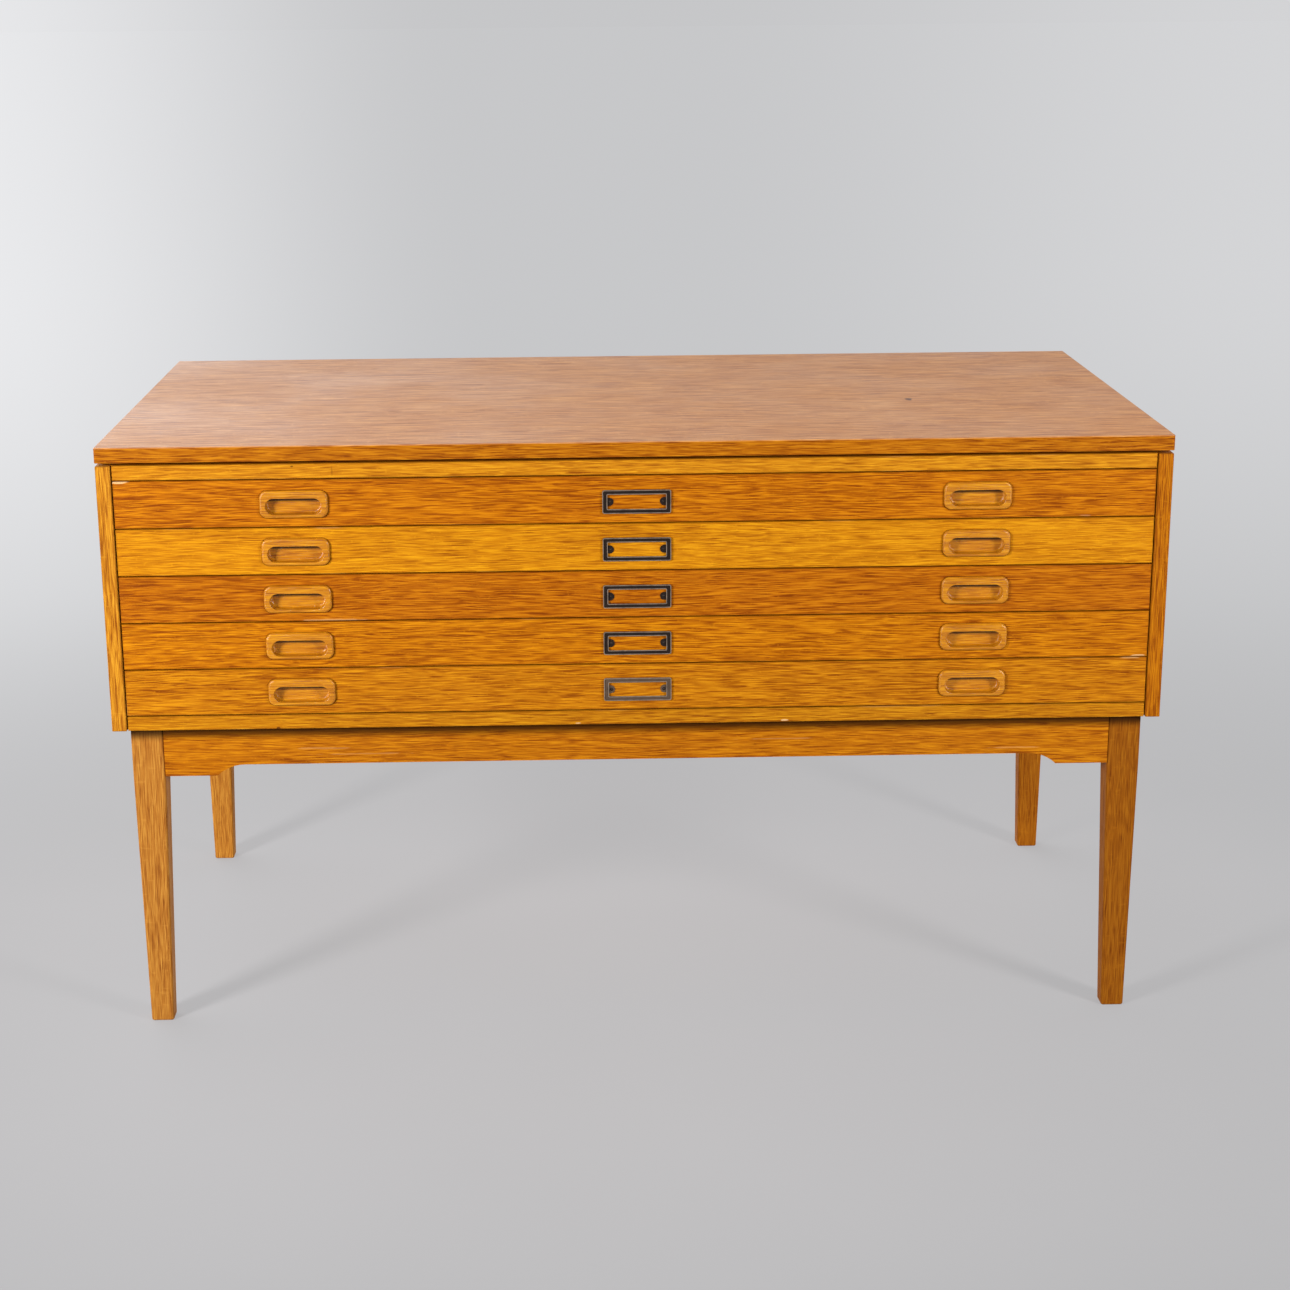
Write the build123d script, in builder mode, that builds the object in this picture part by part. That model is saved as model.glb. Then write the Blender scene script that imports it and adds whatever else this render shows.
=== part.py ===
from build123d import *
import os

# Flat file cabinet: five shallow plan drawers in an oak case that rests on a separate leg stand.
# Millimetres, +Z up. The origin is on the floor under the middle of the top board.
# The drawers open towards -Y.

os.makedirs("parts", exist_ok=True)

# ---------------------------------------------------------------- driving dimensions
# Whole cabinet
width = 1300.0
depth = 650.0
stand_height = 396.0
case_height = 334.0
shadow_gap = 4.0                # open line between the case and the top board
board = 18.0                    # case boards and drawer fronts
eased = 1.0                     # rounding on board edges
saw_gap = 0.1                   # glued joint line between pieces of one group

# Top board
top_board = 19.0                # thickness, with the veneer
veneer = 1.2                    # face veneer, laid over the core and its solid edge
lipping = 8.0                   # solid wood edge round the core
top_corner = 2.0
spacer_width = 30.0
spacer_inset = 25.0             # from the case's edges to the spacers

# Case
case_setback = 2.0              # side panels' edges behind the top board's edges
front_setback = 2.0             # drawer fronts and rails behind the side panels' edges
housing = 6.0                   # depth of the housings for the case boards
housing_stop = 8.0              # the housings stop this far behind the front
joint_line = 1.5                # gap round the drawer fronts, and beside the rails
back_thickness = 6.0
back_rebate = 10.0
back_play = 0.3                 # clearance between the back panel and its rebates

# Runners
runner_thickness = 8.0
runner_height = 12.0
runner_end_gap = 17.0           # from the runner's back end to the back panel
runner_screw_places = (-255.0, 0.0, 255.0)

# Drawers
drawer_count = 5
front_eased = 0.8
side_thickness = 12.0
side_height = 45.0
side_lift = 5.0                 # drawer side above the front's lower edge
side_play = 3.0                 # between a drawer side and the side panel
side_end_gap = 8.0              # between a drawer side's back end and the back panel
side_tongue = 6.0               # drawer side let into the front
slide_play = 0.3                # clearance between the runner and its groove
groove_lift = 15.0              # runner groove above the drawer side's lower edge
groove_extra = 0.6              # groove deeper than the runner stands proud of the play
base_thickness = 4.0
base_lift = 4.0                 # drawer base above the drawer side's lower edge
base_tongue = 4.0
back_tongue = 3.0
back_inset = 2.0                # drawer back ahead of the sides' ends
stop_gap = 0.5                  # runner's front end to the drawer front

# Pulls, one block let into the front on each side
pull_width = 82.6
pull_height = 33.8
pull_corner = 9.4
pull_proud = 4.0
pull_let_in = 12.5
pull_place = 414.0              # from the middle of the front
pull_drop = 0.8                 # below the front's mid-height
pull_rounding = 3.0
pull_play = 0.2
scoop_width = 68.0
scoop_height = 19.8
scoop_drop = 2.7
scoop_depth = 11.0
scoop_lip = 4.0                 # thickness of the lip over the finger undercut
scoop_undercut = 2.5
scoop_floor_radius = 3.0
scoop_mouth_radius = 1.0

# Label holders
holder_width = 83.2
holder_height = 29.0
holder_proud = 2.4
holder_corner = 2.6
holder_drop = 2.9
window_width = 71.0
window_height = 18.0
window_corner = 0.8
rim = 1.0                       # raised line along the holder's outer and inner edge
rim_height = 0.8
card_slot = (56.0, 24.0, 1.0)
ear_radius = 5.0
ear_length = 7.4
ear_thickness = 0.8
pin_place = 32.4
pin_shank = 0.8
pin_head = 2.1
pin_head_height = 1.2
pin_length = 9.0
pin_point = 1.0
pin_play = 0.05

# Stand
stand_half_width = 630.0
stand_front_setback = 13.0      # behind the top board's front edge
stand_back_setback = 39.0
leg_width = 40.5
leg_depth = 37.0
leg_inner_taper = 9.0           # narrower on each inner face at the foot than beside the aprons
leg_outer_taper = 3.0
leg_eased = 3.5
foot_eased = 2.5
apron_thickness = 20.0
apron_height = 63.0             # at the bracket ends, beside the legs
apron_step = 14.0               # the middle stands this much higher
bracket_length = 65.0           # straight lower edge of a bracket end
bracket_sweep = 34.0            # length of the hollow curve
side_apron_height = 56.0
tenon_length = 15.0
tenon_thickness = 10.0
tenon_shoulder = 8.0
mortise_play = 0.1
block_thickness = 20.0
block_near = 50.0               # diagonal corner block, measured along the aprons from their corner
block_far = 90.0
block_screw_spread = 40.0

# Screws
screw_shank = 2.2
screw_head = 4.5
screw_length = 34.0
screw_play = 0.1
runner_screw_shank = 1.75
runner_screw_head = 3.5
runner_screw_length = 16.0
driver_slot = 1.0
pilot_extra = 1.0               # pilot holes deeper than the screws bite
countersink = 90.0
top_screw_columns = (-450.0, 0.0, 450.0)

# ---------------------------------------------------------------- levels and faces
half_width = width / 2
inner_half = half_width - board
case_bottom = stand_height
case_top = case_bottom + case_height
top_underside = case_top + shadow_gap
veneer_underside = top_underside + top_board - veneer
case_front = -depth / 2 + case_setback
case_back = -case_front
case_depth = case_back - case_front
back_face = case_back - back_thickness
front_face = case_front + front_setback
front_inside = front_face + board
housing_front = case_front + housing_stop

opening_height = case_height - 2 * board
front_height = (opening_height - (drawer_count + 1) * joint_line) / drawer_count
front_half = inner_half - joint_line
pitch = front_height + joint_line

side_outer = inner_half - side_play
side_inner = side_outer - side_thickness
side_back = back_face - side_end_gap
groove_height = runner_height + 2 * slide_play
groove_depth = runner_thickness - side_play + groove_extra
drawer_back_face = side_back - back_inset

runner_front = front_inside + stop_gap
runner_back = back_face - runner_end_gap
runner_face = inner_half - runner_thickness

leg_front = -depth / 2 + stand_front_setback
leg_back = depth / 2 - stand_back_setback
apron_end = stand_half_width - leg_width
sides = (("left", -1), ("right", 1))
ends = (("front", -1), ("back", 1))


def front_bottom(number):
    """Lower edge of a drawer front, counted from the top."""
    return case_bottom + board + joint_line + (drawer_count - number) * pitch


def runner_bottom(number):
    return front_bottom(number) + side_lift + groove_lift + slide_play


def facing(y):
    """A plane at depth y that looks out of the cabinet's front: local x is +X and local y is +Z."""
    return Plane.XZ.offset(-y)


def upward(x, y, z):
    """A place on a lower face, seen from below, for holes drilled up into it."""
    return Plane(origin=(x, y, z), x_dir=(1, 0, 0), z_dir=(0, 0, -1))


def outward(sign, x, y, z):
    """A place on an inner side face, seen from the middle, for holes drilled towards one side."""
    return Plane(origin=(sign * x, y, z), x_dir=(0, 1, 0), z_dir=(-sign, 0, 0))


def apron_corner(sign_x, sign_y):
    """Inner corner where a front or back apron would meet a side apron."""
    y = leg_front + apron_thickness if sign_y < 0 else leg_back - apron_thickness
    return sign_x * (stand_half_width - apron_thickness), y


def block_screw_places():
    """Plan places of the two screws in each diagonal corner block."""
    places = []
    middle = (block_near + block_far) / 4
    step = block_screw_spread / 2 / 2 ** 0.5
    for sign_x in (-1, 1):
        for sign_y in (-1, 1):
            corner_x, corner_y = apron_corner(sign_x, sign_y)
            for way in (-1, 1):
                x = corner_x - sign_x * (middle + way * step)
                y = corner_y - sign_y * (middle - way * step)
                places.append((x, y))
    return places


spacer_y = case_back - spacer_inset - spacer_width / 2
top_screw_places = [(x, sign * spacer_y) for x in top_screw_columns for sign in (-1, 1)]
stand_screw_places = block_screw_places()

# ---------------------------------------------------------------- screw patterns, used by several groups
with BuildPart() as long_screw:
    with BuildSketch(Plane.XZ):
        with BuildLine():
            Polyline(
                (0, 0),
                (screw_head, 0),
                (screw_shank, screw_head - screw_shank),
                (screw_shank, screw_length - screw_head),
                (0, screw_length),
                close=True,
            )
        make_face()
    revolve(axis=Axis.Z)
    with BuildSketch(Plane.XY):
        Rectangle(2 * screw_head, driver_slot)
    extrude(amount=driver_slot, mode=Mode.SUBTRACT)

with BuildPart() as short_screw:
    with BuildSketch(Plane.XZ):
        with BuildLine():
            Polyline(
                (0, 0),
                (runner_screw_head, 0),
                (runner_screw_shank, runner_screw_head - runner_screw_shank),
                (runner_screw_shank, runner_screw_length - runner_screw_head),
                (0, runner_screw_length),
                close=True,
            )
        make_face()
    revolve(axis=Axis.Z)
    with BuildSketch(Plane.XY):
        Rectangle(2 * runner_screw_head, driver_slot)
    extrude(amount=driver_slot, mode=Mode.SUBTRACT)

# Round-head pin that holds a label holder, its axis along Y and its head towards -Y
pin_head_radius = (pin_head ** 2 + pin_head_height ** 2) / (2 * pin_head_height)
with BuildPart() as round_pin:
    with BuildSketch(Plane.XY):
        with BuildLine():
            RadiusArc((0, -pin_head_height), (pin_head, 0), pin_head_radius)
            Polyline(
                (pin_head, 0),
                (pin_shank, 0),
                (pin_shank, pin_length - pin_point),
                (0, pin_length),
                (0, -pin_head_height),
            )
        make_face()
    revolve(axis=Axis.Y)

# ---------------------------------------------------------------- top board
with BuildPart() as top_panel:
    with BuildSketch(Plane.XY.offset(top_underside)):
        Rectangle(width - 2 * lipping, depth - 2 * lipping)
    extrude(amount=top_board - veneer)
    with BuildSketch(Plane.XY.offset(veneer_underside)):
        RectangleRounded(width, depth, top_corner)
    extrude(amount=veneer)
    upper_face = top_panel.faces().sort_by(Axis.Z)[-1]
    fillet(upper_face.edges(), radius=eased)
    top_bite = screw_length - board - shadow_gap + pilot_extra
    with Locations(*[upward(x, y, top_underside) for x, y in top_screw_places]):
        Hole(screw_shank + screw_play, depth=top_bite)
top_panel.part.label = "top_panel"
export_step(top_panel.part, "parts/top_panel.step")

# Four solid edges with mitred corners, under the veneer
with BuildPart() as top_lippings:
    with BuildSketch(Plane.XY.offset(top_underside)):
        RectangleRounded(width, depth, top_corner)
        Rectangle(width - 2 * lipping, depth - 2 * lipping, mode=Mode.SUBTRACT)
    extrude(amount=top_board - veneer)
    lower_face = top_lippings.faces().sort_by(Axis.Z)[0]
    fillet(lower_face.outer_wire().edges(), radius=eased)
    with BuildSketch(Plane.XY.offset(top_underside)):
        for sign_x in (-1, 1):
            for sign_y in (-1, 1):
                with Locations((sign_x * (half_width - lipping / 2), sign_y * (depth - lipping) / 2)):
                    Rectangle(4 * lipping, saw_gap, rotation=45 * sign_x * sign_y)
    extrude(amount=top_board - veneer, mode=Mode.SUBTRACT)
top_lippings.part.label = "top_lippings"
export_step(top_lippings.part, "parts/top_lippings.step")

# Battens that hold the top board off the case
with BuildPart() as top_spacers:
    long_batten = 2 * (half_width - spacer_inset)
    short_batten = 2 * (spacer_y - spacer_width)
    end_batten_x = half_width - spacer_inset - spacer_width / 2
    with BuildSketch(Plane.XY.offset(case_top)):
        with Locations((0, -spacer_y), (0, spacer_y)):
            Rectangle(long_batten, spacer_width)
        with Locations((-end_batten_x, 0), (end_batten_x, 0)):
            Rectangle(spacer_width, short_batten)
        with Locations(*top_screw_places):
            Circle(screw_shank + screw_play, mode=Mode.SUBTRACT)
    extrude(amount=shadow_gap)
top_spacers.part.label = "top_spacers"
export_step(top_spacers.part, "parts/top_spacers.step")

# ---------------------------------------------------------------- case
for side, sign in sides:
    with BuildPart() as side_panel:
        with BuildSketch(Plane.XY.offset(case_bottom)):
            with Locations((sign * (half_width - board / 2), 0)):
                Rectangle(board, case_depth)
        extrude(amount=case_height)
        fillet(side_panel.edges(), radius=eased)
        # Housings for the case boards, open at the panel's ends and stopped behind the front
        for level in (case_bottom, case_top - board):
            with BuildSketch(Plane.XY.offset(level)):
                with Locations((sign * inner_half, (housing_front + case_back) / 2)):
                    Rectangle(2 * housing, case_back - housing_front)
            extrude(amount=board, mode=Mode.SUBTRACT)
        with BuildSketch(Plane.XY.offset(case_bottom)):
            with Locations((sign * inner_half, case_back - back_thickness / 2)):
                Rectangle(2 * back_rebate, back_thickness)
        extrude(amount=case_height, mode=Mode.SUBTRACT)
        runner_bite = runner_screw_length - runner_thickness + pilot_extra
        pilot_places = [
            outward(sign, inner_half, y, runner_bottom(number) + runner_height / 2)
            for number in range(1, drawer_count + 1)
            for y in runner_screw_places
        ]
        with Locations(*pilot_places):
            Hole(runner_screw_shank + screw_play, depth=runner_bite)
    side_panel.part.label = f"side_panel_{side}"
    export_step(side_panel.part, f"parts/side_panel_{side}.step")

for name, level in (("case_bottom_panel", case_bottom), ("case_top_panel", case_top - board)):
    with BuildPart() as case_panel:
        with BuildSketch(Plane.XY.offset(level)):
            with Locations((0, (housing_front + back_face) / 2)):
                Rectangle(2 * (inner_half + housing), back_face - housing_front)
            with Locations((0, (front_face + housing_front) / 2)):
                Rectangle(2 * front_half, housing_front - front_face)
        extrude(amount=board)
        fillet(case_panel.faces().sort_by(Axis.Y)[0].edges(), radius=front_eased)
        if level == case_bottom:
            with Locations(*[upward(x, y, level) for x, y in stand_screw_places]):
                Hole(screw_shank + screw_play, depth=screw_length - block_thickness + pilot_extra)
        else:
            with Locations(*[upward(x, y, level) for x, y in top_screw_places]):
                CounterSinkHole(
                    screw_shank + screw_play,
                    screw_head + screw_play,
                    counter_sink_angle=countersink,
                )
    case_panel.part.label = name
    export_step(case_panel.part, f"parts/{name}.step")

with BuildPart() as back_panel:
    with BuildSketch(facing(case_back)):
        with Locations((0, case_bottom + case_height / 2)):
            Rectangle(2 * (inner_half + back_rebate - back_play), case_height)
    extrude(amount=back_thickness)
back_panel.part.label = "back_panel"
export_step(back_panel.part, "parts/back_panel.step")

# Hardwood runners, one pair for each drawer
with BuildPart() as drawer_runners:
    runner_x = inner_half - runner_thickness / 2
    for number in range(1, drawer_count + 1):
        with BuildSketch(Plane.XY.offset(runner_bottom(number))):
            for sign in (-1, 1):
                with Locations((sign * runner_x, (runner_front + runner_back) / 2)):
                    Rectangle(runner_thickness, runner_back - runner_front)
        extrude(amount=runner_height)
    for number in range(1, drawer_count + 1):
        for sign in (-1, 1):
            level = runner_bottom(number) + runner_height / 2
            with Locations(*[outward(sign, runner_face, y, level) for y in runner_screw_places]):
                CounterSinkHole(
                    runner_screw_shank + screw_play,
                    runner_screw_head + screw_play,
                    depth=runner_thickness,
                    counter_sink_angle=countersink,
                )
drawer_runners.part.label = "drawer_runners"
export_step(drawer_runners.part, "parts/drawer_runners.step")

with BuildPart() as runner_screws:
    for number in range(1, drawer_count + 1):
        level = runner_bottom(number) + runner_height / 2
        for sign in (-1, 1):
            with Locations(*[outward(-sign, -runner_face, y, level) for y in runner_screw_places]):
                add(short_screw.part)
runner_screws.part.label = "runner_screws"
export_step(runner_screws.part, "parts/runner_screws.step")

# ---------------------------------------------------------------- drawers
for number in range(1, drawer_count + 1):
    lower_edge = front_bottom(number)
    middle = lower_edge + front_height / 2
    side_bottom = lower_edge + side_lift
    base_level = side_bottom + base_lift
    pull_level = middle - pull_drop
    holder_level = middle - holder_drop
    groove_level = side_bottom + groove_lift

    # Front board with recesses for the pulls, housings for the sides and a groove for the base
    with BuildPart() as drawer_front:
        with BuildSketch(facing(front_inside)):
            with Locations((0, middle)):
                Rectangle(2 * front_half, front_height)
        extrude(amount=board)
        fillet(drawer_front.faces().sort_by(Axis.Y)[0].edges(), radius=front_eased)
        with BuildSketch(facing(front_face)):
            with Locations((-pull_place, pull_level), (pull_place, pull_level)):
                RectangleRounded(pull_width + 2 * pull_play, pull_height + 2 * pull_play, pull_corner)
        extrude(amount=-pull_let_in, mode=Mode.SUBTRACT)
        side_middle = side_inner + side_thickness / 2
        with BuildSketch(facing(front_inside)):
            with Locations(*[(sign * side_middle, side_bottom + side_height / 2) for sign in (-1, 1)]):
                Rectangle(side_thickness, side_height)
        extrude(amount=side_tongue, mode=Mode.SUBTRACT)
        with BuildSketch(facing(front_inside)):
            with Locations((0, base_level + base_thickness / 2)):
                Rectangle(2 * (side_inner + base_tongue), base_thickness)
        extrude(amount=base_tongue, mode=Mode.SUBTRACT)
        with BuildSketch(facing(front_face)):
            with Locations((-pin_place, holder_level), (pin_place, holder_level)):
                Circle(pin_shank + pin_play)
        extrude(amount=-pin_length, mode=Mode.SUBTRACT)
    drawer_front.part.label = f"drawer_{number}_front"
    export_step(drawer_front.part, f"parts/drawer_{number}_front.step")

    # Sides with an outer groove that rides on the runner, and an inner groove for the base
    side_front = front_inside - side_tongue
    for side, sign in sides:
        with BuildPart() as drawer_side:
            with BuildSketch(Plane.XY.offset(side_bottom)):
                with Locations((sign * (side_outer - side_thickness / 2), (side_front + side_back) / 2)):
                    Rectangle(side_thickness, side_back - side_front)
            extrude(amount=side_height)
            fillet(drawer_side.faces().sort_by(Axis.Z)[-1].edges().filter_by(Axis.Y), radius=eased)
            with BuildSketch(Plane.XY.offset(groove_level)):
                with Locations((sign * side_outer, (front_inside + side_back) / 2)):
                    Rectangle(2 * groove_depth, side_back - front_inside)
            extrude(amount=groove_height, mode=Mode.SUBTRACT)
            with BuildSketch(Plane.XY.offset(base_level)):
                with Locations((sign * side_inner, (front_inside - base_tongue + side_back) / 2)):
                    Rectangle(2 * base_tongue, side_back - front_inside + base_tongue)
            extrude(amount=base_thickness, mode=Mode.SUBTRACT)
            with BuildSketch(Plane.XY.offset(base_level + base_thickness)):
                with Locations((sign * side_inner, drawer_back_face - side_thickness / 2)):
                    Rectangle(2 * back_tongue, side_thickness)
            extrude(amount=side_height, mode=Mode.SUBTRACT)
        drawer_side.part.label = f"drawer_{number}_side_{side}"
        export_step(drawer_side.part, f"parts/drawer_{number}_side_{side}.step")

    with BuildPart() as drawer_back:
        with BuildSketch(facing(drawer_back_face)):
            back_height = side_bottom + side_height - base_level - base_thickness
            with Locations((0, base_level + base_thickness + back_height / 2)):
                Rectangle(2 * (side_inner + back_tongue), back_height)
        extrude(amount=side_thickness)
        fillet(drawer_back.faces().sort_by(Axis.Z)[-1].edges().filter_by(Axis.X), radius=eased)
    drawer_back.part.label = f"drawer_{number}_back"
    export_step(drawer_back.part, f"parts/drawer_{number}_back.step")

    with BuildPart() as drawer_base:
        with BuildSketch(Plane.XY.offset(base_level)):
            with Locations((0, (front_inside - base_tongue + drawer_back_face) / 2)):
                Rectangle(2 * (side_inner + base_tongue), drawer_back_face - front_inside + base_tongue)
        extrude(amount=base_thickness)
    drawer_base.part.label = f"drawer_{number}_base"
    export_step(drawer_base.part, f"parts/drawer_{number}_base.step")

    # Two pull blocks with a hollow for the fingers, undercut behind the upper lip
    with BuildPart() as drawer_pulls:
        pull_face = front_face - pull_proud
        scoop_level = pull_level - scoop_drop
        pocket_height = scoop_height + scoop_undercut
        with BuildSketch(facing(front_face + pull_let_in)):
            with Locations((-pull_place, pull_level), (pull_place, pull_level)):
                RectangleRounded(pull_width, pull_height, pull_corner)
        extrude(amount=pull_proud + pull_let_in)
        fillet(drawer_pulls.faces().filter_by(Axis.Y).group_by(Axis.Y)[0].edges(), radius=pull_rounding)
        with BuildSketch(facing(pull_face + scoop_lip)):
            with Locations(*[(sign * pull_place, scoop_level + scoop_undercut / 2) for sign in (-1, 1)]):
                SlotOverall(scoop_width, pocket_height)
        extrude(amount=scoop_lip - scoop_depth, mode=Mode.SUBTRACT)
        pocket_floors = drawer_pulls.faces().filter_by(Axis.Y).filter_by(
            lambda face: abs(face.center().Y - pull_face - scoop_depth) < eased
        )
        fillet(pocket_floors.edges(), radius=scoop_floor_radius)
        with BuildSketch(facing(pull_face)):
            with Locations((-pull_place, scoop_level), (pull_place, scoop_level)):
                SlotOverall(scoop_width, scoop_height)
        extrude(amount=-scoop_lip, mode=Mode.SUBTRACT)
        mouth_faces = drawer_pulls.faces().filter_by(Axis.Y).group_by(Axis.Y)[0]
        mouth_edges = [edge for face in mouth_faces for wire in face.inner_wires() for edge in wire.edges()]
        fillet(mouth_edges, radius=scoop_mouth_radius)
    drawer_pulls.part.label = f"drawer_{number}_pulls"
    export_step(drawer_pulls.part, f"parts/drawer_{number}_pulls.step")

    # Metal frame for a paper label, with an ear at each end of its window
    with BuildPart() as label_holder:
        holder_face = front_face - holder_proud
        line_width = window_width + 2 * rim
        line_height = window_height + 2 * rim
        with BuildSketch(facing(front_face)):
            with Locations((0, holder_level)):
                RectangleRounded(holder_width, holder_height, holder_corner)
                RectangleRounded(window_width, window_height, window_corner, mode=Mode.SUBTRACT)
        extrude(amount=holder_proud)
        with BuildSketch(facing(holder_face)):
            with Locations((0, holder_level)):
                RectangleRounded(holder_width - 2 * rim, holder_height - 2 * rim, holder_corner - rim)
                RectangleRounded(line_width, line_height, window_corner + rim, mode=Mode.SUBTRACT)
        extrude(amount=-rim_height, mode=Mode.SUBTRACT)
        with BuildSketch(facing(front_face)):
            with Locations((0, holder_level)):
                Rectangle(card_slot[0], card_slot[1])
        extrude(amount=card_slot[2], mode=Mode.SUBTRACT)
        with BuildSketch(facing(front_face)):
            for sign in (-1, 1):
                ear_middle = window_width / 2 - ear_length + ear_radius
                with Locations((sign * ear_middle, holder_level)):
                    Circle(ear_radius)
                with Locations((sign * (ear_middle + window_width / 2 + rim) / 2, holder_level)):
                    Rectangle(window_width / 2 + rim - ear_middle, 2 * ear_radius)
            with Locations((-pin_place, holder_level), (pin_place, holder_level)):
                Circle(pin_shank + pin_play, mode=Mode.SUBTRACT)
        extrude(amount=ear_thickness)
    label_holder.part.label = f"drawer_{number}_label_holder"
    export_step(label_holder.part, f"parts/drawer_{number}_label_holder.step")

    with BuildPart() as holder_pins:
        with Locations(*[(sign * pin_place, front_face - ear_thickness, holder_level) for sign in (-1, 1)]):
            add(round_pin.part)
    holder_pins.part.label = f"drawer_{number}_holder_pins"
    export_step(holder_pins.part, f"parts/drawer_{number}_holder_pins.step")

# ---------------------------------------------------------------- stand
apron_bottom = stand_height - apron_height
tenon_height = apron_height - 2 * tenon_shoulder
side_tenon_height = side_apron_height - 2 * tenon_shoulder
sweep_radius = (bracket_sweep ** 2 + apron_step ** 2) / (2 * apron_step)

for end, sign_y in ends:
    outer_y = leg_front if sign_y < 0 else leg_back
    apron_back_plane = outer_y + apron_thickness if sign_y < 0 else outer_y
    bracket_tip = apron_end - bracket_length
    curve_start = bracket_tip - bracket_sweep
    middle_level = apron_bottom + apron_step
    tenon_level = stand_height - apron_height / 2

    # Apron with deeper bracket ends, each joined to the middle by a hollow curve
    with BuildPart() as apron:
        with BuildSketch(facing(apron_back_plane)):
            with BuildLine():
                Line((-apron_end, stand_height), (apron_end, stand_height))
                Line((apron_end, stand_height), (apron_end, apron_bottom))
                Line((apron_end, apron_bottom), (bracket_tip, apron_bottom))
                RadiusArc((bracket_tip, apron_bottom), (curve_start, middle_level), -sweep_radius)
                Line((curve_start, middle_level), (-curve_start, middle_level))
                RadiusArc((-curve_start, middle_level), (-bracket_tip, apron_bottom), -sweep_radius)
                Line((-bracket_tip, apron_bottom), (-apron_end, apron_bottom))
                Line((-apron_end, apron_bottom), (-apron_end, stand_height))
            make_face()
        extrude(amount=apron_thickness)
        with BuildSketch(facing(apron_back_plane - (apron_thickness - tenon_thickness) / 2)):
            with Locations(*[(sign * apron_end, tenon_level) for sign in (-1, 1)]):
                Rectangle(2 * tenon_length, tenon_height)
        extrude(amount=tenon_thickness)
    apron.part.label = f"apron_{end}"
    export_step(apron.part, f"parts/apron_{end}.step")

    for side, sign_x in sides:
        # Leg, straight beside the aprons and tapered below them, most on the two inner faces
        with BuildPart() as leg:
            leg_x = sign_x * (stand_half_width - leg_width / 2)
            leg_y = outer_y - sign_y * leg_depth / 2
            taper = leg_inner_taper + leg_outer_taper
            foot_shift = (leg_inner_taper - leg_outer_taper) / 2
            with BuildSketch(Plane.XY.offset(apron_bottom)):
                with Locations((leg_x, leg_y)):
                    Rectangle(leg_width, leg_depth)
            extrude(amount=apron_height)
            with BuildSketch(Plane.XY):
                with Locations((leg_x + sign_x * foot_shift, leg_y + sign_y * foot_shift)):
                    Rectangle(leg_width - taper, leg_depth - taper)
            with BuildSketch(Plane.XY.offset(apron_bottom)):
                with Locations((leg_x, leg_y)):
                    Rectangle(leg_width, leg_depth)
            loft()
            upright_edges = leg.edges().filter_by(lambda edge: edge.length > leg_width)
            fillet(upright_edges, radius=leg_eased)
            fillet(leg.faces().sort_by(Axis.Z)[0].edges(), radius=foot_eased)
            apron_middle_y = outer_y - sign_y * apron_thickness / 2
            side_apron_x = sign_x * (stand_half_width - apron_thickness / 2)
            with BuildSketch(Plane.XY.offset(tenon_level - tenon_height / 2)):
                with Locations((sign_x * apron_end, apron_middle_y)):
                    Rectangle(2 * (tenon_length + mortise_play), tenon_thickness)
            extrude(amount=tenon_height, mode=Mode.SUBTRACT)
            side_tenon_bottom = stand_height - side_apron_height + tenon_shoulder
            with BuildSketch(Plane.XY.offset(side_tenon_bottom)):
                with Locations((side_apron_x, outer_y - sign_y * leg_depth)):
                    Rectangle(tenon_thickness, 2 * (tenon_length + mortise_play))
            extrude(amount=side_tenon_height, mode=Mode.SUBTRACT)
        leg.part.label = f"leg_{end}_{side}"
        export_step(leg.part, f"parts/leg_{end}_{side}.step")

for side, sign_x in sides:
    with BuildPart() as side_apron:
        side_apron_x = sign_x * (stand_half_width - apron_thickness / 2)
        side_apron_length = leg_back - leg_front - 2 * leg_depth
        with BuildSketch(Plane.XY.offset(stand_height - side_apron_height)):
            with Locations((side_apron_x, (leg_front + leg_back) / 2)):
                Rectangle(apron_thickness, side_apron_length)
        extrude(amount=side_apron_height)
        with BuildSketch(Plane.XY.offset(stand_height - side_apron_height + tenon_shoulder)):
            with Locations((side_apron_x, (leg_front + leg_back) / 2)):
                Rectangle(tenon_thickness, side_apron_length + 2 * tenon_length)
        extrude(amount=side_tenon_height)
    side_apron.part.label = f"apron_{side}"
    export_step(side_apron.part, f"parts/apron_{side}.step")

# Diagonal blocks across the stand's corners, screwed up into the case
with BuildPart() as corner_blocks:
    with BuildSketch(Plane.XY.offset(stand_height - block_thickness)):
        for sign_x in (-1, 1):
            for sign_y in (-1, 1):
                corner_x, corner_y = apron_corner(sign_x, sign_y)
                with BuildLine():
                    Polyline(
                        (corner_x - sign_x * block_near, corner_y),
                        (corner_x - sign_x * block_far, corner_y),
                        (corner_x, corner_y - sign_y * block_far),
                        (corner_x, corner_y - sign_y * block_near),
                        close=True,
                    )
                make_face()
    extrude(amount=block_thickness)
    with Locations(*[upward(x, y, stand_height - block_thickness) for x, y in stand_screw_places]):
        CounterSinkHole(
            screw_shank + screw_play,
            screw_head + screw_play,
            depth=block_thickness,
            counter_sink_angle=countersink,
        )
corner_blocks.part.label = "corner_blocks"
export_step(corner_blocks.part, "parts/corner_blocks.step")

# The same screws hold the case to the stand and the top board to the case
with BuildPart() as case_screws:
    with Locations(*[(x, y, stand_height - block_thickness) for x, y in stand_screw_places]):
        add(long_screw.part)
    with Locations(*[(x, y, case_top - board) for x, y in top_screw_places]):
        add(long_screw.part)
case_screws.part.label = "case_screws"
export_step(case_screws.part, "parts/case_screws.step")
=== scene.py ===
import math

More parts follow.
